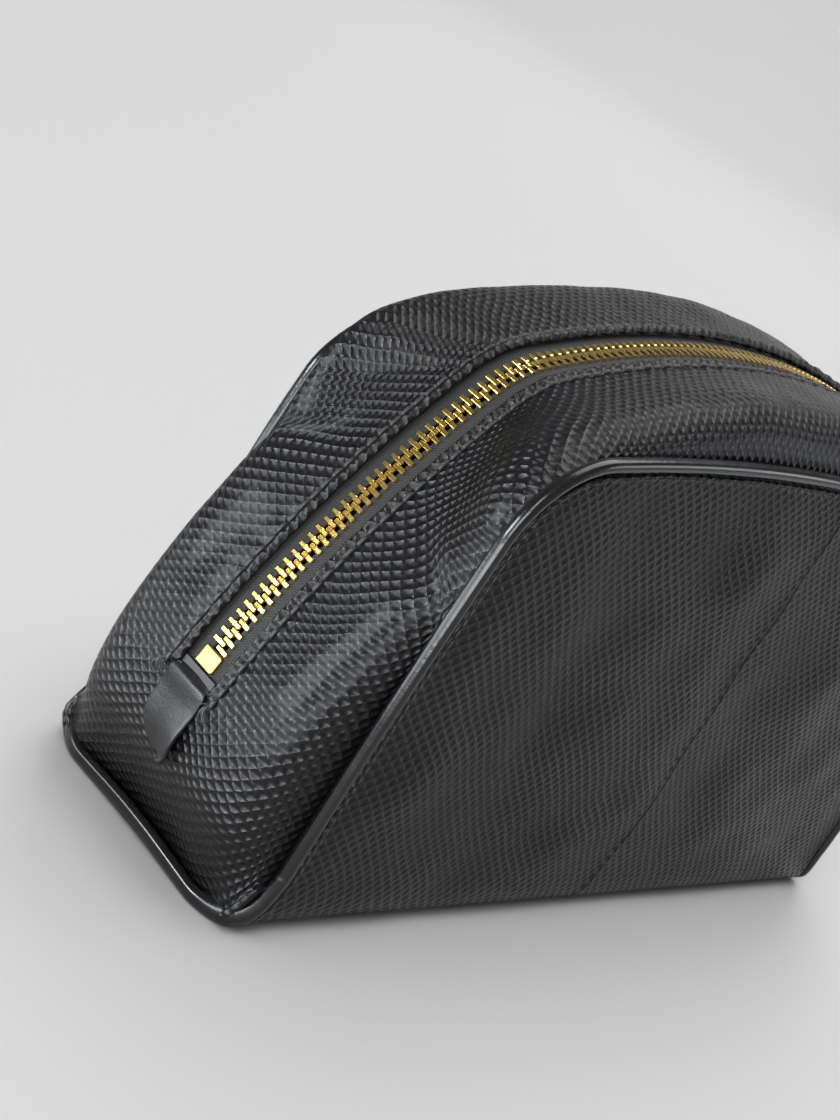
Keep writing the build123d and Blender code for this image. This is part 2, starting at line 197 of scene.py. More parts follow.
def ripple(x, z, seed, waves=7, longest=0.09, shortest=0.03):
    """Soft hills and hollows between -1 and 1, the same on every run."""
    draw = np.random.RandomState(seed)
    total = np.zeros_like(x)
    weight = 0.0
    for _ in range(waves):
        length = longest * (shortest / longest) ** draw.rand()
        angle = draw.rand() * 2 * pi
        share = length / longest
        total += share * np.sin(2 * pi * (x * cos(angle) + z * sin(angle)) / length
                                + draw.rand() * 2 * pi)
        weight += share
    return total / weight * 1.6


def from_seam(x, z):
    """Distance in from the seam curve, in its own plane."""
    line = seam.point(np.linspace(0, arc_count, 420))
    flat = np.column_stack([x, z])
    return np.concatenate([
        np.sqrt(((part[:, None] - line[None]) ** 2).sum(axis=2).min(axis=1))
        for part in np.array_split(flat, len(flat) // 4000 + 1)])


def settle(points):
    """The bag's soft sag: every soft piece is moved by this one smooth field."""
    points = np.array(points, dtype=float)
    x, y, z = points.T
    along, aside = np.abs(x), np.abs(y)

    # the base lifts in the middle of each end
    middle = np.cos(np.clip(y / (36 * MM), -1, 1) * pi / 2) ** 2
    lift = end_arch * middle * smooth(70 * MM, 118 * MM, along) * (1 - smooth(0, 36 * MM, z))

    # near the floor the end seams spread, and the gusset between them turns in
    seam_out, crown_out = np.interp(z, *seam_side), np.interp(z, *crown_side)
    outside = np.clip((along - seam_out) / np.maximum(crown_out - seam_out, MM), 0, 1)
    on_gusset = smooth(0.15, 1, outside)
    wide = 1 - (1 - flare_at_corners) * smooth(23 * MM, 40 * MM, aside)
    spread = base_flare * wide * (1 - on_gusset) * smooth(80 * MM, 120 * MM, along) * (
        1 - smooth(3 * MM, 18 * MM, z))
    spread -= base_tuck * on_gusset * (1 - smooth(2 * MM, 24 * MM, z))

    # the bottom edges are stuffed out
    u = np.clip((aside - wrap_base_half) / bottom_round, 0, 1.1)
    w = np.clip((bottom_round - z) / bottom_round, 0, 1.1)
    fill = corner_fill * np.clip(2 * u * w, 0, 1) ** 2

    # the panels swell, with hills and hollows
    on_panel = smooth(33.5 * MM, 36.8 * MM, aside) * (outside <= 0)
    plump = 1 - np.exp(-np.clip(from_seam(x, z) - 1.5 * MM, 0, None) / panel_rise)
    hills = broad_hills * ripple(x, z, 11) + small_hills * ripple(
        x + y, z, 12, longest=0.05, shortest=0.02)
    swell = on_panel * plump * smooth(0, 30 * MM, z) * (panel_swell + hills)

    # the back's near shoulder slumps
    at_back = smooth(29 * MM, 35.5 * MM, y)
    slump = at_back * smooth(60 * MM, 110 * MM, -x)
    lean = slump * back_lean * smooth(25 * MM, 50 * MM, z)
    from_corner = np.hypot(x - slump_corner[0], z - slump_corner[1])
    fall = slump * back_fall * np.exp(-(from_corner / slump_reach) ** 2)
    pinch = back_pinch * at_back * smooth(-20 * MM, 100 * MM, -x) * smooth(22 * MM, 50 * MM, z)
    inward = unit(np.column_stack([pinch_centre[0] - x, pinch_centre[1] - z]))

    points[:, 0] += np.sign(x) * spread + lean + fall * 0.4 + pinch * inward[:, 0]
    points[:, 2] += pinch * inward[:, 1] - fall
    points[:, 1] += np.sign(y) * (swell + fill)
    points[:, 2] = np.maximum(points[:, 2] + lift - fill, 0.25 * z)
    return points


# ---- surfaces ----
def gusset_surface(place, across):
    """Outer face of the gusset, and its leather coordinates, at a place and a distance across."""
    spread = np.abs(across)
    rest = np.clip((spread - level_half) / (gusset_edge - level_half), 0, 1.06)
    middle = crown.point(place)
    edge = seam.point(place, -seam_sink)
    between = (crown.heading(place) + seam.heading(place)) / 2
    seam_above = np.sum((edge - middle) * outward(between), axis=1)
    late = 1 - np.sqrt(np.clip(1 - np.clip(rest, 0, 1) ** 2.7, 0, 1))
    early = 1 - np.clip(1 - rest, 0, 1) ** 1.7
    share = late + (early - late) * smooth(-6 * MM, 5 * MM, seam_above)
    flat = middle * (1 - share)[:, None] + edge * share[:, None]
    heading = crown.heading(place) * (1 - share) + seam.heading(place) * share
    run = crown.run(place) * (1 - share) + seam.run(place) * share
    puff = np.sin(np.clip(rest, 0, 1) ** 2.1 * pi) ** 0.9 * (
        gusset_puff + gusset_hills * ripple(run, across, 21))
    puff += gusset_creases * np.sin(np.clip(rest, 0, 1) * pi) * ripple(
        run, across, 22, longest=0.035, shortest=0.012)
    channel = np.exp(-((spread - zip_stitch_line) / (0.75 * MM)) ** 2)
    in_slot = smooth(slot_start - 3 * MM, slot_start, run) * (
        1 - smooth(slot_end, slot_end + 3 * MM, run))
    pucker = 0.75 + 0.25 * np.cos(2 * pi * (run - slot_start) / stitch_pitch)
    near_line = np.exp(-(np.clip(spread - zip_stitch_line, 0, None) / (2.6 * MM)) ** 2)
    welt = np.exp(-((spread - welt_line) / (1.3 * MM)) ** 2) * in_slot * np.where(
        across > 0, back_welt, front_welt)
    tuck = in_slot * (stitch_dent * channel * pucker + pull_dent * near_line * (
        1 - np.cos(2 * pi * run / pull_pitch + 2 * ripple(run, across, 23))))
    raised = flat + outward(heading) * (puff + welt - tuck)[:, None]
    points = np.column_stack([raised[:, 0], across, raised[:, 1]])
    return points, np.column_stack([run, across])


def steps_along(line):
    """Distance along a line of points at each of them."""
    return np.concatenate([[0], np.cumsum(np.linalg.norm(np.diff(line, axis=0), axis=1))])


def points_at(distances, steps, line):
    """Points of a line at these distances along it."""
    return np.column_stack([np.interp(distances, steps, part) for part in line.T])


def seam_x(height, inset):
    """Half the panel's length at this height, inside the seam by inset."""
    places = np.linspace(0, arc_count / 2, 900)
    line = seam.point(places, -inset)
    return np.interp(height, line[:, 1], -line[:, 0])


def wrap_rows(spacing):
    """Rows of the straight part of the wrap, front to back: (y, z, leather coordinate)."""
    half = []
    for height in np.arange(cap_height, bottom_round, -spacing):
        half.append((-half_width, height, wrap_base_half + wrap_corner + height - bottom_round))
    for angle in np.arange(0, pi / 2, spacing / bottom_round):
        half.append((-wrap_base_half - bottom_round * cos(angle),
                     bottom_round * (1 - sin(angle)),
                     wrap_base_half + wrap_corner - angle * bottom_round))
    base = [(y, 0.0, -y) for y in np.linspace(-wrap_base_half, wrap_base_half,
                                              int(2 * wrap_base_half / spacing) + 2)]
    return half + base + [(-y, z, -v) for y, z, v in reversed(half)]


def cap_patch(spacing, columns):
    """Rows of (x, z) above cap_height, top row first, from the end to the centre seam."""
    inset = panel_gap + fold_reach
    side_start = seam_x(cap_height, inset)
    places = np.linspace(0, arc_count / 2, 1800)
    line = seam.point(places, -inset)
    turn = np.searchsorted(-seam.heading(places), radians(-45))
    start = np.searchsorted(line[:turn, 1], cap_height)
    centre_x = -(seam_gap_half + fold_reach)
    top = line[turn:]
    top = top[top[:, 0] < centre_x]
    side = np.vstack([[-side_start, cap_height], line[start:turn + 1]])
    apex = np.array([centre_x, np.interp(centre_x, line[turn:, 0], line[turn:, 1])])
    top = np.vstack([line[turn], top[1:], apex])

    def even(curve, count):
        steps = steps_along(curve)
        return points_at(np.linspace(0, steps[-1], count), steps, curve)

    rows = int((apex[1] - cap_height) / spacing) + 1
    left = even(side, rows + 1)
    right = np.column_stack([np.full(rows + 1, centre_x),
                             np.linspace(cap_height, apex[1], rows + 1)])
    upper = even(top, columns)
    lower = np.column_stack([np.linspace(-side_start, centre_x, columns),
                             np.full(columns, cap_height)])
    u = np.linspace(0, 1, columns)[:, None]
    patch = []
    for row in range(rows, 0, -1):
        w = row / rows
        corners = ((1 - u) * (1 - w) * lower[0] + u * (1 - w) * lower[-1]
                   + (1 - u) * w * upper[0] + u * w * upper[-1])
        patch.append((1 - w) * lower + w * upper + (1 - u) * left[row] + u * right[row] - corners)
    return patch


def body_half(spacing):
    """Grid of one half of the wrap, at -X: points, leather coordinates, rows and columns."""
    inset = panel_gap + fold_reach
    centre_x = -(seam_gap_half + fold_reach)
    columns = int(seam_x(0.05, inset) / spacing) + 1
    u = np.linspace(0, 1, columns)
    level = np.zeros(columns)
    cap = cap_patch(spacing, columns)
    top_v = wrap_base_half + wrap_corner - bottom_round
    rows = [(x, -half_width, z, top_v + z) for x, z in (row.T for row in cap)]
    rows += [(-seam_x(z, inset) * (1 - u) + centre_x * u, y, z, v)
             for y, z, v in wrap_rows(spacing)]
    rows += [(x, half_width, z, -top_v - z) for x, z in (row.T for row in reversed(cap))]
    points = np.vstack([np.column_stack([x, level + y, level + z]) for x, y, z, _ in rows])
    grain = np.vstack([np.column_stack([x, level + v]) for x, _, _, v in rows])
    return points, grain, len(rows), columns


def grid_faces(rows, columns, flip=False, keep=None):
    """Quads of a grid stored row by row. keep, if given, says which cells are there."""
    r, c = np.meshgrid(np.arange(rows - 1), np.arange(columns - 1), indexing="ij")
    corner = (r * columns + c).ravel()
    quads = np.column_stack([corner, corner + columns, corner + columns + 1, corner + 1])
    if keep is not None:
        quads = quads[keep.ravel()]
    return quads[:, ::-1] if flip else quads


def floor_run(across):
    """Run from the floor to the gusset's lower edge, which follows the piping round the base."""
    turned = np.clip(np.abs(across) - wrap_base_half, 0, None)
    corner = bottom_round - 2 * piping_radius
    return gusset_floor + corner - np.sqrt(np.clip(corner ** 2 - turned ** 2, 0, None))


def gusset_grid(spacing, widths):
    """Grid of the gusset: points, leather coordinates and faces, with the slot left open."""
    stops = np.array([0, slot_start - fold_reach, slot_end + fold_reach, crown.runs[-1]])
    runs = np.concatenate([np.linspace(low, high, int((high - low) / spacing) + 2)[:-1]
                           for low, high in zip(stops, stops[1:])] + [[stops[-1]]])
    widths = np.array(widths) * MM
    across = np.concatenate([-widths[::-1], widths[1:]])
    y = np.tile(across, len(runs))
    run = np.repeat(runs, len(across))
    total = crown.runs[-1]
    free_end = slot_start - 6 * MM
    for mirror in (False, True):
        from_floor = total - run if mirror else run
        start = floor_run(y)
        lifted = np.where(from_floor < free_end,
                          start + from_floor * (1 - start / free_end), from_floor)
        run = total - lifted if mirror else lifted
    points, grain = gusset_surface(crown.place(run), y)
    rows = points.reshape(len(runs), len(across), 3)
    wide = np.cumsum(np.linalg.norm(np.diff(rows, axis=1), axis=2), axis=1)
    wide = np.column_stack([np.zeros(len(runs)), wide])
    wide -= wide[:, len(across) // 2][:, None]
    grain[:, 1] = wide.ravel()
    middle_run = (runs[1:] + runs[:-1]) / 2
    middle_y = (across[1:] + across[:-1]) / 2
    in_slot = (middle_run > stops[1]) & (middle_run < stops[2])
    over_slot = np.abs(middle_y) < slot_half + fold_reach - 0.05 * MM
    keep = ~(in_slot[:, None] & over_slot[None, :])
    return points, grain, grid_faces(len(runs), len(across), keep=keep)


# ---- closed plies from open sheets ----
def point_normals(points, faces):
    corners = points[faces]
    face_normals = np.cross(corners[:, 2] - corners[:, 0], corners[:, 3] - corners[:, 1])
    total = np.zeros_like(points)
    for k in range(4):
        np.add.at(total, faces[:, k], face_normals)
    return total / np.maximum(np.linalg.norm(total, axis=1), 1e-12)[:, None]


def rim_loops(faces):
    """Loops of points round the open edges, each with its faces on its left."""
    edges = set()
    for k in range(4):
        edges.update(zip(faces[:, k].tolist(), faces[:, (k + 1) % 4].tolist()))
    after = {a: b for a, b in edges if (b, a) not in edges}
    loops = []
    while after:
        start = min(after)
        loop = [start]
        step = after.pop(start)
        while step != start:
            loop.append(step)
            step = after.pop(step)
        loops.append(np.array(loop))
    return loops


def mitred(edge_ways):
    """Outward way at each corner of a loop from the ways of the edges before and after it."""
    before = np.roll(edge_ways, 1, axis=0)
    fit = 1 + np.sum(before * edge_ways, axis=1, keepdims=True)
    return (before + edge_ways) / np.maximum(fit, 0.6)


def close_ply(points, grain, faces, depth, thickness, profiles):
    """A ply with thickness: outer face, an edge turned along a profile, and inner face.

    profiles has one for the outside edge and one for holes, each as rows of (outward, up)
    from the sheet's edge. Returns points, leather coordinates, faces, and 1 at the points
    of a turned edge.
    """
    normals = point_normals(points, faces)
    outer = points - normals * depth
    inner = outer - normals * thickness
    used = np.unique(faces)
    renumber = np.full(len(points), -1)
    renumber[used] = np.arange(len(used))
    quads = renumber[faces]
    outer, inner, normals, grain = outer[used], inner[used], normals[used], grain[used]
    count = len(used)
    first = grain[quads[0]]
    span_a, span_b = first[1] - first[0], first[2] - first[0]
    turn = 1.0 if span_a[0] * span_b[1] - span_a[1] * span_b[0] > 0 else -1.0
    all_points = [outer, inner]
    all_grain = [grain, grain]
    all_faces = [quads, quads[:, ::-1] + count]
    edge_share = [np.zeros(2 * count)]
    total = 2 * count
    loops = sorted(rim_loops(quads), key=len, reverse=True)
    for place, loop in enumerate(loops):
        following = np.roll(loop, -1)
        tangent = outer[following] - outer[loop]
        ways = mitred(unit(np.cross(tangent, normals[loop] + normals[following])))
        flat = unit(grain[following] - grain[loop])
        flat_ways = mitred(np.column_stack([flat[:, 1], -flat[:, 0]]) * turn)
        ring = loop
        travelled = 0.0
        last = (0.0, 0.0)
        for reach, up in profiles[min(place, 1)]:
            travelled += np.hypot(reach - last[0], up - last[1])
            last = (reach, up)
            all_points.append(outer[loop] + ways * reach + normals[loop] * up)
            all_grain.append(grain[loop] + flat_ways * travelled)
            edge_share.append(np.ones(len(loop)))
            new_ring = np.arange(total, total + len(loop))
            total += len(loop)
            all_faces.append(np.column_stack([ring, new_ring, np.roll(new_ring, -1),
                                              np.roll(ring, -1)]))
            ring = new_ring
        bottom = loop + count
        all_faces.append(np.column_stack([ring, bottom, np.roll(bottom, -1), np.roll(ring, -1)]))
    return (np.vstack(all_points), np.vstack(all_grain), np.vstack(all_faces),
            np.concatenate(edge_share))


def turned_edge(thickness, roll):
    """Profile of a turned and pressed leather edge, roll high at most."""
    reach = fold_reach
    return [(reach * 0.35, roll * 0.55), (reach * 0.62, roll), (reach * 0.80, roll * 0.75),
            (reach * 0.93, -0.10 * MM), (reach, -0.45 * MM), (reach, -thickness * 0.75),
            (reach * 0.97, -thickness)]


def make_object(name, nodes, points, faces, material, body, slot, uv=None, edge=None):
    """A smooth-shaded mesh object that stands for the nodes and rides on the body.

    uv is the leather coordinates in metres, and edge is 1 at the points of a turned edge.
    """
    mesh = bpy.data.meshes.new(name)
    mesh.from_pydata(points.tolist(), [], [list(face) for face in faces])
    mesh.polygons.foreach_set("use_smooth", np.ones(len(mesh.polygons), dtype=bool))
    if uv is not None:
        corner_points = np.empty(len(mesh.loops), dtype=np.int32)
        mesh.loops.foreach_get("vertex_index", corner_points)
        layer = mesh.uv_layers.new(name="leather")
        layer.data.foreach_set("uv", (uv * 10)[corner_points].ravel())
    if edge is not None:
        mesh.attributes.new("edge", "FLOAT", "POINT").data.foreach_set("value", edge)
    mesh.materials.append(material)
    mesh.update()
    piece = bpy.data.objects.new(name, mesh)
    bpy.context.scene.collection.objects.link(piece)
    if body:
        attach(piece, body)
    if nodes:
        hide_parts(*nodes)
    return piece


def add_ply(name, nodes, sheet, depth, thickness, profiles, material, slot, body="bag"):
    """Make a ply from an open sheet of points, leather coordinates and faces."""
    points, grain, faces, edge = close_ply(*sheet, depth, thickness, profiles)
    return make_object(name, nodes, points, faces, material, body, slot, uv=grain, edge=edge)


def joined(parts):
    """One set of points and faces from several."""
    points, faces = [], []
    start = 0
    for part_points, part_faces in parts:
        faces += [[corner + start for corner in face] for face in part_faces]
        points.append(part_points)
        start += len(part_points)
    return np.vstack(points), faces


# ---- materials ----
class Recipe:
    """A material's nodes, added one at a time to a Principled surface."""

    def __init__(self, name, surface):
        self.material = bpy.data.materials.new(name)
        self.material.use_nodes = True
        self.tree = self.material.node_tree
        self.shader = self.tree.nodes["Principled BSDF"]
        for socket, value in surface.items():
            self.shader.inputs[socket].default_value = value

    def feed(self, socket, value):
        if isinstance(value, bpy.types.NodeSocket):
            self.tree.links.new(value, socket)
        else:
            socket.default_value = value

    def node(self, kind, inputs, **settings):
        node = self.tree.nodes.new(kind)
        for key, value in settings.items():
            setattr(node, key, value)
        for key, value in inputs.items():
            self.feed(node.inputs[key], value)
        return node

    def math(self, operation, a, b=0.0):
        return self.node("ShaderNodeMath", {0: a, 1: b}, operation=operation).outputs[0]

    def vector(self, operation, *inputs):
        node = self.node("ShaderNodeVectorMath", dict(enumerate(inputs)), operation=operation)
        return node.outputs["Value" if operation == "DOT_PRODUCT" else "Vector"]

    def mapped(self, value, low, high, to_low, to_high):
        inputs = {"Value": value, "From Min": low, "From Max": high, "To Min": to_low,
                  "To Max": to_high}
        return self.node("ShaderNodeMapRange", inputs).outputs[0]

    def blend(self, share, low, high):
        inputs = {"Factor": share, 6: low, 7: high}
        return self.node("ShaderNodeMix", inputs, data_type="RGBA").outputs[2]

    def millimetres(self):
        """Leather coordinates of the piece in millimetres, as a vector."""
        uv = self.node("ShaderNodeUVMap", {}, uv_map="leather").outputs[0]
        return self.vector("MULTIPLY", uv, (100, 100, 100))

    def object_millimetres(self):
        place = self.node("ShaderNodeTexCoord", {}).outputs["Object"]
        return self.vector("MULTIPLY", place, (1000, 1000, 1000))

    def noise(self, vector, size, detail=2.0, roughness=0.5):
        """Noise between 0 and 1 whose grains are about size millimetres."""
        inputs = {"Vector": vector, "Scale": 1 / size, "Detail": detail, "Roughness": roughness}
        return self.node("ShaderNodeTexNoise", inputs).outputs[0]

    def shifts(self, vector, scale, detail):
        """Noise between -0.5 and 0.5 in every direction."""
        inputs = {"Vector": vector, "Scale": scale, "Detail": detail}
        cloud = self.node("ShaderNodeTexNoise", inputs).outputs["Color"]
        return self.vector("SUBTRACT", cloud, (0.5, 0.5, 0.5))

    def edge_share(self):
        return self.node("ShaderNodeAttribute", {}, attribute_name="edge").outputs["Fac"]

    def bump(self, height, millimetres, under=None):
        inputs = {"Height": height, "Distance": millimetres * MM}
        if under is not None:
            inputs["Normal"] = under
        return self.node("ShaderNodeBump", inputs).outputs[0]

    def finish(self, colour=None, roughness=None, normal=None):
        for socket, value in (("Base Color", colour), ("Roughness", roughness),
                              ("Normal", normal)):
            if value is not None:
                self.feed(self.shader.inputs[socket], value)
        return self.material


def grey(level, tint=0.0):
    return (level, level, level * (1 + tint), 1)


def embossed_leather(name, first, second, relief, shine):
    """Black leather pressed with small diamond pits, with painted shade: the pits are coloured darker
    than the tops.

    first and second are the two sets of grooves, each as grooves per millimetre along and
    across the leather. relief is the depth of the pressing in millimetres.
    """
    recipe = Recipe(name, {"Specular IOR Level": shine, "Coat Weight": 0.08,
                           "Coat Roughness": 0.14})
    place = recipe.millimetres()
    drift = recipe.shifts(place, 0.035, 2.0)
    jitter = recipe.shifts(place, 0.55, 1.0)
    warped = recipe.vector("MULTIPLY_ADD", drift, (3, 3, 0), place)
    warped = recipe.vector("MULTIPLY_ADD", jitter, (0.4, 0.4, 0), warped)
    walls = []
    for grooves in (first, second):
        phase = recipe.vector("DOT_PRODUCT", warped, (*grooves, 0))
        wave = recipe.math("SINE", recipe.math("MULTIPLY", phase, pi))
        walls.append(recipe.math("ABSOLUTE", wave))
    pit = recipe.math("POWER", recipe.math("MULTIPLY", *walls), 1.1)
    pores = recipe.noise(place, 0.30, 3.0, 0.6)
    creases = recipe.noise(place, 3.5, 4.0, 0.55)
    edge = recipe.edge_share()
    pressed = recipe.math("MULTIPLY", pit, recipe.mapped(edge, 0, 1, -1, -0.8))
    normal = recipe.bump(creases, 0.12)
    normal = recipe.bump(pressed, relief, normal)
    normal = recipe.bump(pores, 0.022, normal)
    wear = recipe.noise(place, 14, 3.0, 0.6)
    # the low colours are painted shade for the pits and the high ones colour the tops; wear only
    # varies the tone at random
    low = recipe.blend(wear, grey(0.0020, 0.25), grey(0.0035, 0.25))
    high = recipe.blend(wear, grey(0.0055, 0.22), grey(0.011, 0.18))
    # painted shade: the deeper the pit, the darker its colour
    colour = recipe.blend(recipe.mapped(pit, 0.15, 0.85, 1, 0), low, high)
    rough = recipe.mapped(pit, 0.1, 0.8, 0.26, 0.46)
    rough = recipe.math("ADD", rough, recipe.mapped(wear, 0.3, 0.7, -0.04, 0.07))
    return recipe.finish(colour, rough, normal)


def plain_leather(name, pebble, gloss, relief, coat, along=1.0):
    """Black leather with fine pebbled grain. along stretches the grain across the piece."""
    recipe = Recipe(name, {"Specular IOR Level": 0.36, "Coat Weight": coat,
                           "Coat Roughness": gloss * 0.6})
    place = recipe.millimetres()
    stretched = recipe.vector("MULTIPLY", place, (1, 1 / along, 1))
    cells = recipe.node("ShaderNodeTexVoronoi", {"Vector": stretched, "Scale": 1 / pebble},
                        feature="SMOOTH_F1").outputs["Distance"]
    creases = recipe.noise(stretched, pebble * 4, 4.0, 0.6)
    normal = recipe.bump(creases, relief)
    normal = recipe.bump(recipe.math("MULTIPLY", cells, -1.0), relief * 0.55, normal)
    wear = recipe.noise(place, 9, 3.0, 0.6)
    colour = recipe.blend(wear, grey(0.004, 0.15), grey(0.010, 0.10))
    rough = recipe.mapped(wear, 0.3, 0.7, gloss - 0.06, gloss + 0.08)
    return recipe.finish(colour, rough, normal)


def polished_brass(name, colour, rough):
    recipe = Recipe(name, {"Metallic": 1.0})
    place = recipe.object_millimetres()
    cloud = recipe.noise(place, 1.6, 3.0, 0.6)
    scratch = recipe.noise(recipe.vector("MULTIPLY", place, (14, 1.5, 14)), 1.0, 2.0, 0.7)
    dull = tuple(level * 0.62 for level in colour[:3]) + (1,)
    tint = recipe.blend(recipe.mapped(cloud, 0.35, 0.65, 0, 1), dull, colour)
    roughness = recipe.mapped(cloud, 0.3, 0.7, rough + 0.10, rough)
    normal = recipe.bump(scratch, 0.006)
    return recipe.finish(tint, roughness, normal)


def twisted_thread(name, level):
    recipe = Recipe(name, {"Sheen Weight": 0.25, "Sheen Roughness": 0.4})
    place = recipe.object_millimetres()
    strands = recipe.noise(place, 0.16, 2.0, 0.7)
    colour = recipe.blend(strands, grey(level * 0.5), grey(level * 1.6))
    return recipe.finish(colour, recipe.mapped(strands, 0, 1, 0.36, 0.58),
                         recipe.bump(strands, 0.05))


def woven(name, thread_size, level, sheen):
    """Herringbone cloth: slanted ribs that change direction from band to band."""
    recipe = Recipe(name, {"Sheen Weight": sheen, "Sheen Roughness": 0.5})
    place = recipe.millimetres()
    parts = recipe.node("ShaderNodeSeparateXYZ", {"Vector": place})
    along, across = parts.outputs[0], parts.outputs[1]
    fold = recipe.math("PINGPONG", across, thread_size * 3)
    rib = recipe.math("SINE", recipe.math("MULTIPLY", recipe.math("ADD", along, fold),
                                          2 * pi / thread_size))
    weft = recipe.math("SINE", recipe.math("MULTIPLY", across, 2 * pi / (thread_size * 0.9)))
    height = recipe.math("ADD", recipe.math("MULTIPLY", rib, 0.6),
                         recipe.math("MULTIPLY", weft, 0.4))
    fuzz = recipe.noise(place, 0.12, 2.0, 0.7)
    height = recipe.math("ADD", height, recipe.math("MULTIPLY", fuzz, 0.6))
    colour = recipe.blend(recipe.mapped(height, -1, 1.4, 0, 1), grey(level * 0.35),
                          grey(level * 1.5))
    return recipe.finish(colour, recipe.mapped(height, -1, 1.4, 0.85, 0.6),
                         recipe.bump(height, 0.07))


def bonded_fibre(name, level):
    recipe = Recipe(name, {})
    place = recipe.object_millimetres()
    fibres = recipe.noise(place, 0.5, 5.0, 0.75)
    return recipe.finish(recipe.blend(fibres, grey(level * 0.6), grey(level * 1.3)),
                         recipe.mapped(fibres, 0, 1, 0.75, 0.95), recipe.bump(fibres, 0.15))


body_leather = embossed_leather("body_leather", (0.28, -0.32), (0.31, 0.30), 0.48, 0.19)
gusset_leather = embossed_leather("gusset_leather", (0.33, -0.31), (0.33, 0.24), 0.42, 0.26)
piping_leather = plain_leather("piping_leather", 0.5, 0.20, 0.045, 0.22, along=2.5)
tongue_leather = plain_leather("tongue_leather", 0.42, 0.44, 0.09, 0.08)
strap_leather = plain_leather("strap_leather", 0.5, 0.38, 0.09, 0.10)
tooth_brass = polished_brass("tooth_brass", (0.95, 0.68, 0.22, 1), 0.15)
stop_brass = polished_brass("stop_brass", (0.40, 0.275, 0.10, 1), 0.34)
slider_brass = polished_brass("slider_brass", (0.86, 0.64, 0.26, 1), 0.14)
zip_thread = twisted_thread("zip_thread", 0.022)
edge_thread = twisted_thread("edge_thread", 0.016)
tape_cloth = woven("tape_cloth", 0.8, 0.008, 0.12)
lining_cloth = woven("lining_cloth", 0.7, 0.03, 0.35)
stiffener = bonded_fibre("stiffener", 0.35)
cord_core = bonded_fibre("cord_core", 0.55)


# ---- body: two halves, sewn edge to edge at mid length ----
def square_edge(thickness):
    return [(0.2 * MM, 0), (0.2 * MM, -thickness)]


def half_pieces(body, name, node, material, slot, depth, thickness, profile):
    """Make the near half as given and the far half as its mirror image."""
    points, grain, rows, columns = body
    for end, way in (("near", 1), ("far", -1)):
        sheet = (settle(points * (way, 1, 1)), grain * (way, 1),
                 grid_faces(rows, columns, flip=way == -1))
        add_ply(f"{name}_{end}", [f"{node}_{end}"], sheet, depth, thickness, (profile,) * 2,
                material, slot)


half_pieces(body_half(1.6 * MM), "body_skin", "body_panel", body_leather, "outer_leather", 0,
            leather, turned_edge(leather, 0.16 * MM))
inner_half = body_half(4 * MM)
half_pieces(inner_half, "body_stiffener", "body_interlining", stiffener, "interlining",
            stiffener_depth, stiffener_ply, square_edge(stiffener_ply))

inner_points, inner_grain, inner_rows, inner_columns = inner_half
inner_faces = grid_faces(inner_rows, inner_columns)
lining_points = settle(np.vstack([inner_points, inner_points * (-1, 1, 1)]))
lining_grain = np.vstack([inner_grain, inner_grain * (-1, 1)])
lining_faces = np.vstack([inner_faces, inner_faces[:, ::-1] + len(inner_points)])
add_ply("body_lining_cloth", ["body_lining"], (lining_points, lining_grain, lining_faces),
        lining_depth, lining_ply, (square_edge(lining_ply),) * 2, lining_cloth, "lining")


# ---- gusset ----
gusset_columns = [0, 2, 4, 6, 7.7, 8.15, 8.6, 9.05, 9.6, 10.4, 11.6, 13.2, 15, 17, 19, 21, 23,
                  25, 26.8, 28.4, 29.8, 31, 32, 32.8, 33.4, 33.9, 34.3, 34.6, 34.8, 34.9]
inner_gusset_columns = [0, 4, 7.7, 10.5, 14, 18, 22, 26, 30, 33]
seam_foot = [(0.30 * MM, 0.10 * MM), (0.50 * MM, 0.45 * MM), (0.56 * MM, 1.2 * MM),
             (1.9 * MM, 1.2 * MM), (1.9 * MM, -1.4 * MM)]
for name, node, spacing, columns, material, slot, depth, thickness, profiles in (
        ("gusset_skin", "gusset_panel", 0.85 * MM, gusset_columns, gusset_leather,
         "outer_leather", 0, leather, (seam_foot, turned_edge(leather, 0.55 * MM))),
        ("gusset_stiffener", "gusset_interlining", 4 * MM, inner_gusset_columns, stiffener,
         "interlining", stiffener_depth, stiffener_ply, (square_edge(stiffener_ply),) * 2),
        ("gusset_lining_cloth", "gusset_lining", 4 * MM, inner_gusset_columns, lining_cloth,
         "lining", lining_depth, lining_ply, (square_edge(lining_ply),) * 2)):
    points, grain, faces = gusset_grid(spacing, columns)
    add_ply(name, [node], (settle(points), grain, faces), depth, thickness, profiles, material,
            slot)


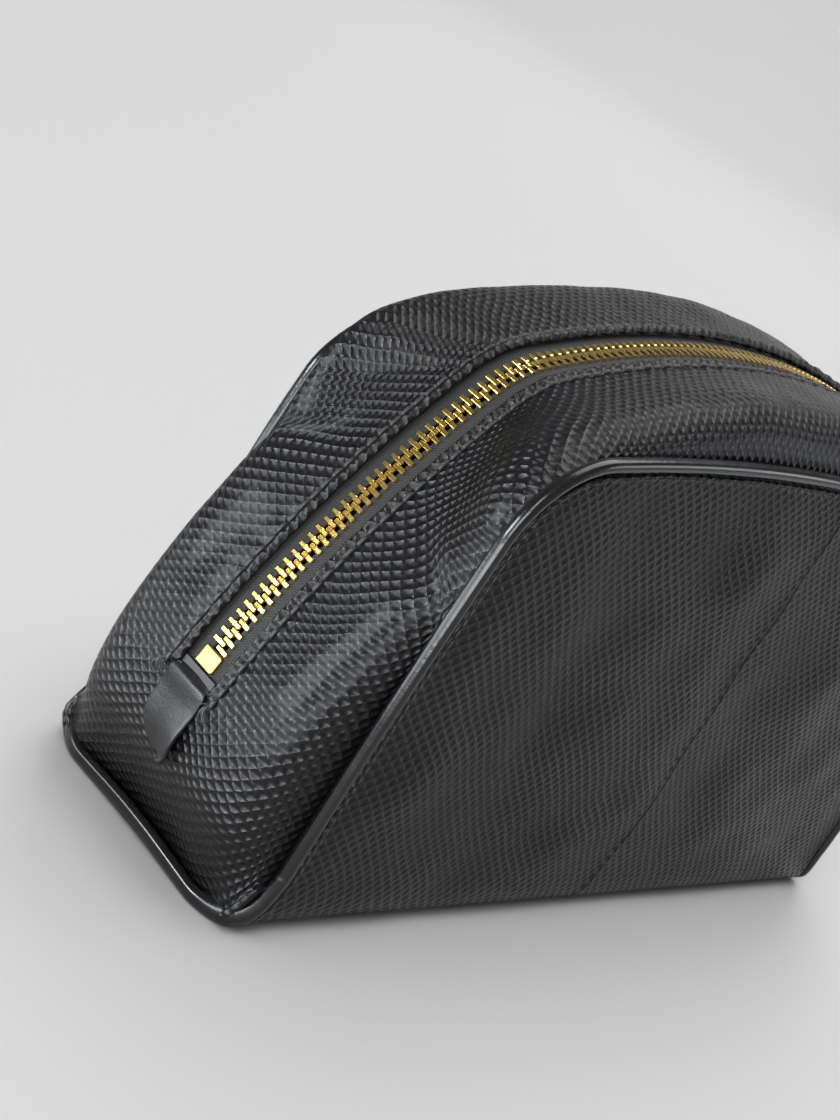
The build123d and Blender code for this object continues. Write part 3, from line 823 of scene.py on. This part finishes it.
# ---- piping: one loop in the seam, with the flange that shows as a lip beside the body ----
def piping_path(spacing):
    """Points round the loop, the way out of the body's face, and the way into the panel."""
    places = np.linspace(0, arc_count, 6000)
    line = seam.point(places)
    heading = seam.heading(places)
    knee = bottom_round + piping_radius
    above = line[:, 1] >= knee
    line, heading = line[above], heading[above]
    reach = piping_across - bottom_round
    angle = np.linspace(0, pi / 2, 60)[1:-1]
    rows = []
    for side in (-1, 1):
        order = range(len(line)) if side == -1 else range(len(line) - 1, -1, -1)
        rows += [((line[k, 0], side * piping_across, line[k, 1]), (0, side, 0),
                  (sin(heading[k]), 0, -cos(heading[k]))) for k in order]
        end = -1 if side == -1 else 0
        fall = np.array([cos(heading[end]), sin(heading[end])]) * (-side)
        start = line[end]
        turn = [(side * (reach + bottom_round * cos(a)), bottom_round * sin(a),
                 (0, side * cos(a), -sin(a))) for a in angle]
        level = [(y, bottom_round, (0, 0, -1))
                 for y in np.linspace(side * reach, -side * reach, 90)]
        back = [(-y, drop, (0, -face[1], face[2])) for y, drop, face in reversed(turn)]
        rows += [((start[0] + fall[0] * drop, y, start[1] + fall[1] * drop), face, (side, 0, 0))
                 for y, drop, face in turn + level + back]
    points, faces_out, panel_way = np.array(rows, dtype=float).transpose(1, 0, 2)
    steps = steps_along(np.vstack([points, points[:1]]))
    even = np.linspace(0, steps[-1], int(steps[-1] / spacing), endpoint=False)

    def resampled(rows):
        return points_at(even, steps, np.vstack([rows, rows[:1]]))

    return (resampled(points), unit(resampled(faces_out)), unit(resampled(panel_way)), even)


def swept_loop(path, ways_a, ways_b, profile_of):
    """A closed tube: profile_of gives each point's outline as (towards b, towards a)."""
    outlines = profile_of(np.arange(len(path)))
    sides = outlines.shape[1]
    points = (path[:, None] + ways_b[:, None] * outlines[..., :1]
              + ways_a[:, None] * outlines[..., 1:])
    index = np.arange(len(path) * sides).reshape(len(path), sides)
    onward = np.roll(index, -1, axis=0)
    faces = np.stack([index, np.roll(index, -1, axis=1), np.roll(onward, -1, axis=1), onward],
                     axis=-1)
    return points.reshape(-1, 3), faces.reshape(-1, 4)


pipe_path, pipe_out, pipe_in, pipe_run = piping_path(0.9 * MM)
face_gap = np.interp(-pipe_out[:, 2], [0, 1], [half_width - piping_across, piping_radius])


tube_opening = (14, 318)         # the tube's cloth ends at these degrees, where the flange starts
flange_ply = 1.25 * MM
core_radius = 1.0 * MM


def piping_outline(index):
    """Tube with a flat flange that reaches under the turned edge of the body panel."""
    run = pipe_run[index]
    wrinkle = 1 + 0.018 * np.sin(2 * pi * run / (2.3 * MM) + 3 * ripple(run, run, 31)) * (
        0.5 + 0.5 * ripple(run, run, 32, longest=0.06, shortest=0.02))
    wrinkle += 0.015 * ripple(run, run, 33, longest=0.02, shortest=0.006)
    angles = np.radians(np.linspace(*tube_opening, 19))
    radius = piping_radius * wrinkle[:, None]
    tube = np.stack([radius * np.cos(angles), radius * np.sin(angles)], axis=-1)
    lip = face_gap[index] - flange_ply
    flange = [(1.2, -1.3), (2.9, -1.3), (2.9, -0.35), (2.8, -0.08), (2.6, 0.0), (2.0, 0.0),
              (1.55, 0.0)]
    flat = np.array([[(p * MM, q * MM + level) for p, q in flange] for level in lip])
    return np.concatenate([tube, flat], axis=1)


pipe_points, pipe_faces = swept_loop(pipe_path, pipe_out, pipe_in, piping_outline)
outline_size = len(pipe_points) // len(pipe_path)
pipe_uv = np.column_stack([np.repeat(pipe_run, outline_size),
                           np.tile(np.linspace(0, 11 * MM, outline_size), len(pipe_path))])
make_object("piping_skin", ["piping_cover"], settle(pipe_points), pipe_faces, piping_leather,
            "bag", "piping_leather", uv=pipe_uv)


def core_outline(index):
    angles = np.linspace(0, 2 * pi, 8, endpoint=False)
    ring = np.column_stack([np.cos(angles), np.sin(angles)]) * core_radius
    return np.tile(ring, (len(index), 1, 1))


core_path, core_out, core_in, _ = piping_path(4 * MM)
core_points, core_faces = swept_loop(core_path, core_out, core_in, core_outline)
make_object("piping_core", ["piping_cord"], settle(core_points), core_faces, cord_core, "bag",
            "piping_core")


# ---- zip ----
def crown_frames(runs):
    """Origins, ways along and ways out on the crown at these runs."""
    places = crown.place(np.asarray(runs, dtype=float))
    flat = crown.point(places)
    out = outward(crown.heading(places))
    origin = np.column_stack([flat[:, 0], np.zeros(len(flat)), flat[:, 1]])
    outs = np.column_stack([out[:, 0], np.zeros(len(flat)), out[:, 1]])
    along = np.column_stack([out[:, 1], np.zeros(len(flat)), -out[:, 0]])
    return origin, along, outs


def copies(shape, origins, along, across, out):
    """Copies of a shape (along, across, out) at the origins, each turned its own way."""
    placed = (origins[:, None] + along[:, None] * shape[:, :1] + across[:, None] * shape[:, 1:2]
              + out[:, None] * shape[:, 2:])
    return placed.reshape(-1, 3)


def on_crown(runs, shape, seats=None):
    """Copies of a shape on the crown at these runs, or on seats square to it there."""
    origin, along, outs = crown_frames(runs)
    across = np.broadcast_to([0, 1, 0], outs.shape)
    return copies(shape, origin if seats is None else seats, along, across, outs)


def repeated(faces, count, stride):
    """Faces of one shape repeated for count copies whose points follow one another."""
    return [[corner + copy * stride for corner in face] for copy in range(count)
            for face in faces]


def strip(runs, across, lifts):
    """Sheet on the crown: lifts gives its height over the crown for each place across."""
    across = np.asarray(across)
    shape = np.column_stack([np.zeros(len(across)), across, lifts])
    points = on_crown(runs, shape)
    grain = np.column_stack([np.repeat(runs, len(across)), np.tile(across, len(runs))])
    return points, grain, grid_faces(len(runs), len(across))


tape_columns = np.array([1.7, 1.85, 2.1, 2.4, 2.7, 3.0, 3.3, 4.0, 5.0, 6.5, 9.0, 13.2]) * MM
tape_cord = np.array([0.05, 0.32, 0.45, 0.42, 0.22, 0.06, 0, 0, 0, 0, 0, 0]) * MM
tape_ply = 0.6 * MM
tape_runs = np.arange(slot_start + 0.3 * MM, slot_end, 1.0 * MM)
for label, side in (("front", -1), ("back", 1)):
    tape_across = tape_columns[::side] * side
    sheet = strip(tape_runs, tape_across, (tape_cord - leather)[::side])
    add_ply(f"tape_cloth_{label}", [f"zip_tape_{label}"], sheet, 0, tape_ply,
            (square_edge(tape_ply),) * 2, tape_cloth, "zip_tape")


def lofted(stations):
    """A closed shape from outlines of equal size: points and faces, ends included."""
    size = len(stations[0])
    points = np.vstack(stations)
    faces = []
    for ring in range(len(stations) - 1):
        for k in range(size):
            a, b = ring * size + k, ring * size + (k + 1) % size
            faces.append([a, b, b + size, a + size])
    faces.append(list(range(size))[::-1])
    faces.append([len(points) - size + k for k in range(size)])
    return points, faces


def bar_outline(across, half, low, high, bevel):
    """Section of a bar with bevelled corners, at a place across: (along, across, out)."""
    return np.array([(x, across, z) for x, z in (
        (half - bevel, high), (bevel - half, high), (-half, high - bevel), (-half, low + bevel),
        (bevel - half, low), (half - bevel, low), (half, low + bevel), (half, high - bevel))])


def tooth_shape(side, head):
    """One tooth: a flat-topped bar that narrows to a head; head is where the tip ends across."""
    stations = [bar_outline(across * side, wide / 2, -high, high, 0.17) * MM
                for across, wide, high in (
                    (2.95, 0.90, 0.98), (2.82, 1.16, 1.18), (1.20, 1.18, 1.20),
                    (0.85, 1.06, 1.08), (head + 0.19, 1.04, 1.04), (head, 0.80, 0.82))]
    points, faces = lofted(stations)
    points[:, 2] -= tape_middle_depth
    return points, faces if side == -1 else [face[::-1] for face in faces]


def add_brass(name, node, parts, material):
    """Make flat-faced zip hardware from several shapes."""
    piece = make_object(name, [node], *joined(parts), material, "bag", "zip_brass")
    piece.data.polygons.foreach_set("use_smooth", np.zeros(len(piece.data.polygons), bool))


# heads mesh past the middle, except along the slider's path, where its neck runs between them
slider_path_teeth = 34
slider_path = zip_start + tooth_pitch * (tooth_count - slider_path_teeth)
meshed_head, parted_head = -0.74, 0.29
for label, side, lag in (("front", -1, 0.0), ("back", 1, 0.5)):
    tooth_runs = zip_start + (np.arange(tooth_count) + 0.3 + lag) * tooth_pitch
    parts = []
    for head, runs in ((meshed_head, tooth_runs[tooth_runs < slider_path]),
                       (parted_head, tooth_runs[tooth_runs >= slider_path])):
        shape, tooth_faces = tooth_shape(side, head)
        parts.append((on_crown(runs, shape), repeated(tooth_faces, len(runs), len(shape))))
    add_brass(f"brass_teeth_{label}", f"teeth_{label}", parts, tooth_brass)


def block(length, width, across):
    """Bevelled stop at the tape's middle depth: points (along, across, out) and faces."""
    stations = [bar_outline(y + across, length / 2 - inset,
                            inset - tape_middle_depth - stop_half_height,
                            stop_half_height - tape_middle_depth - inset, stop_bevel)
                for y, inset in ((-width / 2, stop_bevel), (-width / 2 + stop_bevel, 0),
                                 (width / 2 - stop_bevel, 0), (width / 2, stop_bevel))]
    points, faces = lofted(stations)
    return points, [face[::-1] for face in faces]


stop_length = 4.6 * MM
stop_half_height = 1.4 * MM
stop_bevel = 0.28 * MM
zip_end = crown.runs[-1] - zip_start
for name, node, run, sizes in (
        ("bottom_stop_plate", "bottom_stop", zip_start - stop_length / 2 - 0.2 * MM,
         [(stop_length, 5.8 * MM, 0.0)]),
        ("top_stop_clips", "top_stops", zip_end + 1.2 * MM,
         [(2.0 * MM, 1.95 * MM, side * 1.925 * MM) for side in (-1, 1)])):
    shapes = [block(*size) for size in sizes]
    add_brass(name, node, [(on_crown([run], points), faces) for points, faces in shapes],
              stop_brass)


# ---- stitching ----
def loose_end(side, start, seed):
    """A cut thread end that curls over the leather from the last stitch."""
    draw = np.random.RandomState(seed)
    t = np.linspace(0, 1, 12)
    runs = start - t * (2.2 + 2.6 * draw.rand()) * MM
    across = side * zip_stitch_line + MM * (t * (draw.rand() * 4.4 - 2.2)
                                            + 0.7 * np.sin(t * (2 + 3 * draw.rand())))
    seats, _ = gusset_surface(crown.place(runs), across)
    _, _, outs = crown_frames(runs)
    line = seats + outs * (0.35 + (0.6 + draw.rand()) * np.sin(t * pi * 0.8))[:, None] * MM
    turn = np.linspace(0, 2 * pi, 6, endpoint=False)
    radius = 0.17 * MM
    rings = [point + radius * (out * cos(a) + np.array([0, 1, 0]) * sin(a))
             for point, out in zip(line, outs) for a in turn]
    return lofted(list(np.array(rings).reshape(12, 6, 3)))


def stitch_shape(length, radius, sag, twists=1.4, rings=9, sides=8):
    """One two-ply stitch, lying along, that dips into its holes at both ends."""
    t = np.linspace(-1, 1, rings)
    turn = np.linspace(0, 2 * pi, sides, endpoint=False)
    taper = np.sqrt(np.clip(1 - np.abs(t) ** 4, 0.04, 1))
    lobes = 1 + 0.22 * np.cos(2 * (turn[None] - twists * pi * t[:, None]))
    reach = radius * taper[:, None] * lobes
    points = np.stack([np.broadcast_to(t[:, None] * length / 2, reach.shape),
                       reach * np.cos(turn), reach * np.sin(turn)
                       + (radius * 0.55 - sag * t[:, None] ** 4)], axis=-1)
    return lofted(list(points))


loose_ends = 6
slot_stitches = int((slot_end - slot_start) / stitch_pitch) + 1
shape, stitch_faces = stitch_shape(3.5 * MM, 0.52 * MM, 0.85 * MM, twists=3.2, rings=17)
for label, side in (("front", -1), ("back", 1)):
    stitch_runs = slot_start + (np.arange(slot_stitches) - 0.5) * stitch_pitch
    seats, _ = gusset_surface(crown.place(stitch_runs),
                              np.full(slot_stitches, side * zip_stitch_line))
    threads = [(on_crown(stitch_runs, shape, seats),
                repeated([face[::-1] for face in stitch_faces], slot_stitches, len(shape)))]
    threads += [loose_end(side, slot_start - 1.6 * MM, 60 + end + 10 * side)
                for end in range(loose_ends)]
    points, faces = joined(threads)
    make_object(f"slot_stitches_{label}", [f"zip_stitching_{label}"], settle(points), faces,
                zip_thread, "bag", "thread")

shape, stitch_faces = stitch_shape(2.3 * MM, 0.20 * MM, 0.32 * MM, rings=6, sides=6)
edge_pitch = 2.8 * MM
edge_line = panel_gap + 1.0 * MM
thread_lift = 0.06 * MM
for label, side in (("front", -1), ("back", 1)):
    places = np.linspace(0, arc_count, 8000)
    line = seam.point(places, -edge_line)
    steps = steps_along(line)
    runs = np.arange(edge_pitch, steps[-1], edge_pitch)
    seats = points_at(runs, steps, line)
    heading = np.interp(runs, steps, seam.heading(places))
    high = seats[:, 1] > bottom_round
    seats, heading = seats[high], heading[high]
    face = np.full(len(seats), side * (half_width + thread_lift))
    origin = np.column_stack([seats[:, 0], face, seats[:, 1]])
    along = np.column_stack([np.cos(heading), np.zeros(len(heading)), np.sin(heading)])
    out = np.broadcast_to([0, side, 0], along.shape)
    points = copies(shape, origin, along, np.cross(out, along), out)
    faces = repeated([face[::-1] for face in stitch_faces], len(seats), len(shape))
    make_object(f"edge_stitches_{label}", [f"edge_stitching_{label}"], settle(points), faces,
                edge_thread, "bag", "thread")


# ---- leather tongues over the ends of the slot ----
tongue_half, tongue_widening = 5.3 * MM, 1.1 * MM
front_corner, back_corner = 1.7 * MM, 8.2 * MM
near_flap = 19 * MM              # how far the near tongue lies past the slot


def tongue_sheet(root, tip, curl):
    """A tongue from inside the slot to its tip, both given as runs along the crown.

    curl raises its front edge. The tip is cut square at the front and rounded off behind.
    """
    count = 56
    runs = root + (tip - root) * np.linspace(0, 1, count)
    way = 1 if root < tip else -1
    left = np.abs(tip - runs)
    past_slot = (runs - (slot_end if way > 0 else slot_start)) * way

    def cut_back(corner):
        return corner - np.sqrt(np.clip(corner ** 2 - np.clip(corner - left, 0, None) ** 2, 0,
                                        None))

    half = tongue_half + tongue_widening * smooth(-1 * MM, 3.2 * MM, past_slot)
    front = -half + cut_back(front_corner)
    back = half - cut_back(back_corner)
    u = np.linspace(0, 1, 19)[None]
    across = front[:, None] * (1 - u) + back[:, None] * u
    rise = -1.5 * MM + 3.0 * MM * smooth(-2.0 * MM, 1.6 * MM, past_slot) - 0.45 * MM * smooth(
        1.6 * MM, 7 * MM, past_slot)
    free = smooth(1.5 * MM, 16 * MM, past_slot)
    crease = 0.25 * MM * smooth(0, 3 * MM, past_slot) * ripple(runs, runs, 41, longest=0.02,
                                                              shortest=0.006)
    out = rise[:, None] + crease[:, None] + curl * free[:, None] * np.clip(
        1 - 1.5 * u, 0, 1) ** 1.5 - 0.5 * MM * (1 - free)[:, None] * (2 * u - 1) ** 2
    origin, _, outs = crown_frames(runs)
    points = origin[:, None] + np.array([0, 1, 0]) * across[..., None] + outs[:, None] * out[
        ..., None]
    grain = np.stack([np.broadcast_to(runs[:, None], across.shape), across], axis=-1)
    return (points.reshape(-1, 3), grain.reshape(-1, 2),
            grid_faces(count, u.size, flip=tip < root))


tongue_profile = [(0.20 * MM, -0.08 * MM), (0.34 * MM, -0.3 * MM), (0.34 * MM, -0.8 * MM),
                  (0.20 * MM, -1.1 * MM)]
tongue_ply = 1.2 * MM
near_root = zip_start - stop_length - 0.4 * MM
for name, node, root, tip, curl in (
        ("slot_tongue_near", "end_tab_near", near_root, slot_start - near_flap, 1.9 * MM),
        ("slot_tongue_far", "end_tab_far", zip_end + 3.0 * MM, slot_end + tongue_length, 0.0)):
    hinged = name == "slot_tongue_near"
    tongue = add_ply(name, [node], tongue_sheet(root, tip, curl), 0, tongue_ply,
                     (tongue_profile,) * 2, tongue_leather, "tab_leather",
                     body=None if hinged else "bag")
    if hinged:
        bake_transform(tongue)


# ---- slider and puller ----
def soften_edges(node, width):
    """Weld the frame's split corners and round the sharp edges of a metal CAD node."""
    weld = frame["nodes"][node].modifiers.new("weld", "WELD")
    weld.merge_threshold = 0.002 * MM
    bevel = frame["nodes"][node].modifiers.new("bevel", "BEVEL")
    bevel.width = width
    bevel.segments = 2
    bevel.limit_method = "ANGLE"
    bevel.angle_limit = radians(35)
    bevel.harden_normals = False


for node, material, width in (("slider_body", slider_brass, 0.22 * MM),
                              ("slider_bridge", slider_brass, 0.2 * MM),
                              ("pull_link", slider_brass, 0.16 * MM),
                              ("slot_filler_near", tongue_leather, 0),
                              ("slot_filler_far", tongue_leather, 0),
                              ("centre_seam_tape", stiffener, 0)):
    frame["nodes"][node].data.materials.clear()
    frame["nodes"][node].data.materials.append(material)
    if width:
        soften_edges(node, width)


# ---- puller strap: one leather strip folded round the link's bar and sewn to itself ----
pivots = {joint["name"]: np.array(joint["pos_m"]) for joint in frame["joints"]}
strap_pivot = pivots["strap_swing"]
strap_way = unit(strap_pivot - pivots["puller_swing"])
strap_out = np.array([-strap_way[2], 0, strap_way[0]])
strap_length = 34 * MM
strap_half = 3.5 * MM
strap_ply = 1.0 * MM
strap_neck = 7 * MM              # the two layers part this far from the bar
bar_gap = 1.05 * MM
face_wave, wave_length = 0.10 * MM, 5.5 * MM
strap_corner = 3.3 * MM
strap_stitch_line = 2.55 * MM


def in_strap(along, across, out):
    """Points from distances down the strap, across it and out of its face."""
    along, across, out = (np.asarray(part, dtype=float)[..., None]
                          for part in (along, across, out))
    return strap_pivot + strap_way * along + np.array([0, 1, 0]) * across + strap_out * out


def strap_sheet():
    """Outer face of the folded strip, from the tip over the bar and back to the tip."""
    fold = bar_gap + strap_ply
    down = np.linspace(strap_length, strap_neck, 40)
    neck = np.linspace(strap_neck, 0, 9)[1:-1]
    turn = np.linspace(pi / 2, 3 * pi / 2, 19)
    swell = strap_ply + (fold - strap_ply) * (1 - smooth(0, strap_neck, neck))
    wave = face_wave * np.sin(down / wave_length)
    along = np.concatenate([down, neck, fold * np.cos(turn), neck[::-1], down[::-1]])
    out = np.concatenate([strap_ply + wave, swell, fold * np.sin(turn), -swell[::-1],
                          -strap_ply + wave[::-1]])
    left = np.clip(strap_corner - (strap_length - along), 0, None)
    half = strap_half - strap_corner + np.sqrt(np.clip(strap_corner ** 2 - left ** 2, 0, None))
    u = np.linspace(-1, 1, 15)
    across = half[:, None] * u
    points = in_strap(np.broadcast_to(along[:, None], across.shape), across,
                      np.broadcast_to(out[:, None], across.shape))
    steps = np.concatenate([[0], np.cumsum(np.hypot(np.diff(along), np.diff(out)))])
    grain = np.stack([np.broadcast_to(steps[:, None], across.shape), across], axis=-1)
    return points.reshape(-1, 3), grain.reshape(-1, 2), grid_faces(len(along), len(u))


burnished = [(0.14 * MM, -0.12 * MM), (0.20 * MM, -0.45 * MM), (0.12 * MM, -0.88 * MM)]
add_ply("puller_strap", ["pull_tab"], strap_sheet(), 0, 0.96 * strap_ply, (burnished,) * 2,
        strap_leather, "tab_leather", body="pull_strap")
seats = []
for face in (1, -1):
    for side in (-1, 1):
        seats += [(along * MM, side * strap_stitch_line, face) for along in np.arange(8.0, 31.0, 2.3)]
    seats += [(31.2 * MM, 0.0, face)]
shape, stitch_faces = stitch_shape(1.9 * MM, 0.17 * MM, 0.22 * MM, rings=6, sides=6)
threads = []
for along, across, face in seats:
    turned = shape[:, [1, 0, 2]] if across == 0 else shape
    tall = strap_ply + face_wave * sin(along / wave_length) * face
    threads.append((in_strap(along + turned[:, 0], across + turned[:, 1],
                             (turned[:, 2] + tall) * face), stitch_faces))
make_object("strap_stitches", (), *joined(threads), edge_thread, "pull_strap", "thread")


# ---- stage ----
def lamp(name, place, target, size, power, tone=(1, 1, 1), shows="both"):
    """An area light. shows says what it acts on: "floor" for dull surfaces, "gloss" or "both"."""
    light = bpy.data.lights.new(name, "AREA")
    light.shape = "RECTANGLE"
    light.size, light.size_y = size
    light.energy = power
    light.color = tone
    holder = bpy.data.objects.new(name, light)
    holder.location = place
    aim = Vector(target) - Vector(place)
    holder.rotation_euler = aim.to_track_quat("-Z", "Y").to_euler()
    holder.visible_camera = False
    holder.visible_glossy = shows != "floor"
    holder.visible_diffuse = shows != "gloss"
    bpy.context.scene.collection.objects.link(holder)


def make_stage():
    """Pale floor that curves up into a far wall all round."""
    radius, rise = 2.6, 0.9
    turn = np.linspace(0, 2 * pi, 96, endpoint=False)
    rings = [(r, 0.0) for r in (0.0005, 0.4, 1.2, radius)]
    rings += [(radius + rise * sin(a), rise * (1 - cos(a))) for a in np.linspace(0.1, pi / 2, 14)]
    rings += [(radius + rise, rise + 1.4)]
    points = np.array([(r * cos(a), r * sin(a), z) for r, z in rings for a in turn])
    faces = []
    for ring in range(len(rings) - 1):
        for k in range(len(turn)):
            a, b = ring * len(turn) + k, ring * len(turn) + (k + 1) % len(turn)
            faces.append([a, a + len(turn), b + len(turn), b])
    paper = Recipe("stage_paper", {"Roughness": 0.75}).finish(grey(0.44))
    floor = make_object("stage_floor", (), points, faces, paper, None, None)


make_stage()
world = bpy.data.worlds.new("studio")
world.use_nodes = True
world.node_tree.nodes["Background"].inputs[0].default_value = (0.93, 0.96, 1.0, 1)
world.node_tree.nodes["Background"].inputs[1].default_value = 0.20
bpy.context.scene.world = world
lamp("ceiling_panel", (0.8, 0.1, 2.6), (0.2, 0, 0), (2.2, 2.6), 66)
lamp("far_panel", (1.9, 1.35, 1.9), (1.7, 1.2, 0), (1.5, 1.5), 34, shows="floor")
lamp("near_panel", (-1.4, -0.4, 2.1), (-1.1, -0.3, 0), (1.6, 1.8), 42, shows="floor")
lamp("key_softbox", (-0.85, -0.45, 0.72), (-0.05, 0, 0.08), (0.34, 0.26), 2.4, (1, 0.99, 0.97))
cool = (0.92, 0.96, 1)
lamp("low_window", (-1.15, -0.75, 0.36), (-0.08, -0.02, 0.08), (0.55, 0.60), 10, cool, "gloss")
lamp("end_window", (-1.3, 0.35, 0.26), (-0.10, 0, 0.06), (0.7, 0.42), 18, cool, "gloss")
lamp("front_strip", (-0.365, -0.144, 0.04), (-0.12, -0.03, 0.06), (0.25, 0.07), 0.6, cool, "gloss")
lamp("end_strip", (-0.27, 0.09, 0.03), (-0.13, -0.01, 0.04), (0.22, 0.06), 0.25, cool, "gloss")
lamp("right_window", (1.2, -0.9, 0.5), (0, 0, 0.06), (0.6, 0.5), 3, cool, "gloss")

# ---- camera: direction it looks, how far it is turned about that line, and where it stands ----
look = Vector((0.7744, 0.5490, -0.3146)).normalized()
camera_roll = radians(31.4)
camera_place = Vector((-0.4427, -0.2510, 0.2222))
camera_data = bpy.data.cameras.new("camera")
camera_data.sensor_fit = "HORIZONTAL"
camera_data.sensor_width = 36
camera_data.lens = 85.7
camera = bpy.data.objects.new("camera", camera_data)
level_right = look.cross(Vector((0, 0, 1))).normalized()
level_up = level_right.cross(look)
right = level_right * cos(camera_roll) + level_up * sin(camera_roll)
up = right.cross(look)
turn = Matrix((right, up, -look)).transposed()
camera.matrix_world = Matrix.Translation(camera_place) @ turn.to_4x4()
bpy.context.scene.collection.objects.link(camera)
bpy.context.scene.camera = camera
bpy.context.scene.view_settings.view_transform = "Standard"
